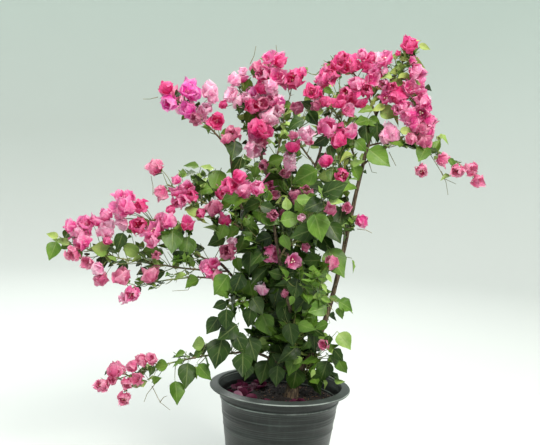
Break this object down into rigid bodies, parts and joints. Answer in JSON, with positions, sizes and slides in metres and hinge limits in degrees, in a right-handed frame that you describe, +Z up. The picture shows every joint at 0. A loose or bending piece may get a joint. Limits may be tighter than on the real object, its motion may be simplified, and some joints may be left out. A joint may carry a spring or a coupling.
{
  "type": "bougainvillea bush",
  "caption": "Bougainvillea bush in a flanged plastic nursery pot, with a woody trunk, boughs and loose sprays of leaves and bracts.",
  "frame": {"origin": "middle of the flat underside of the pot, at the level it stands on", "axes": "+Z up; -Y to the front, towards the viewer of the picture; +X to the right in it"},
  "size_m": [0.8991, 0.5714, 0.9904],
  "materials": {
    "pot": "satin dark grey-green",
    "potting_mix": "rough, damp",
    "bark": "rough bark",
    "foliage": "waxy leaf",
    "blossom": "papery bract"
  },
  "bodies": {
    "root": {"bough_back": "bark", "bough_back_high": "bark", "bough_crown": "bark", "bough_front": "bark", "bough_left": "bark", "bough_left_high": "bark", "bough_low_left": "bark", "bough_middle": "bark", "bough_right": "bark", "column_leaves_01": "foliage", "column_leaves_02": "foliage", "column_leaves_03": "foliage", "column_leaves_04": "foliage", "column_leaves_05": "foliage", "column_leaves_06": "foliage", "column_leaves_07": "foliage", "column_leaves_08": "foliage", "column_leaves_09": "foliage", "column_leaves_10": "foliage", "column_leaves_11": "foliage", "pot": "pot", "potting_mix": "potting_mix", "spray_back_crown": "blossom", "spray_back_high": "blossom", "spray_back_left": "blossom", "spray_back_low": "foliage", "spray_back_middle": "foliage", "spray_back_right": "blossom", "spray_front_high": "blossom", "spray_front_low": "foliage", "spray_front_right": "foliage", "spray_front_row": "blossom", "spray_left_hanging": "foliage", "spray_left_high": "blossom", "spray_left_inner": "foliage", "spray_left_middle": "blossom", "spray_left_outer": "blossom", "spray_left_shoulder": "foliage", "spray_left_upper": "blossom", "spray_low_left": "foliage", "spray_right_arch": "blossom", "spray_right_crest": "blossom", "spray_right_inner": "blossom", "spray_right_low": "blossom", "spray_right_outer": "blossom", "spray_right_shoulder": "foliage", "spray_right_tip": "blossom", "spray_right_under": "blossom", "spray_top_middle": "blossom", "spray_top_middle_left": "blossom", "spray_top_middle_right": "blossom", "trunk": "bark"}
  },
  "joints": []
}
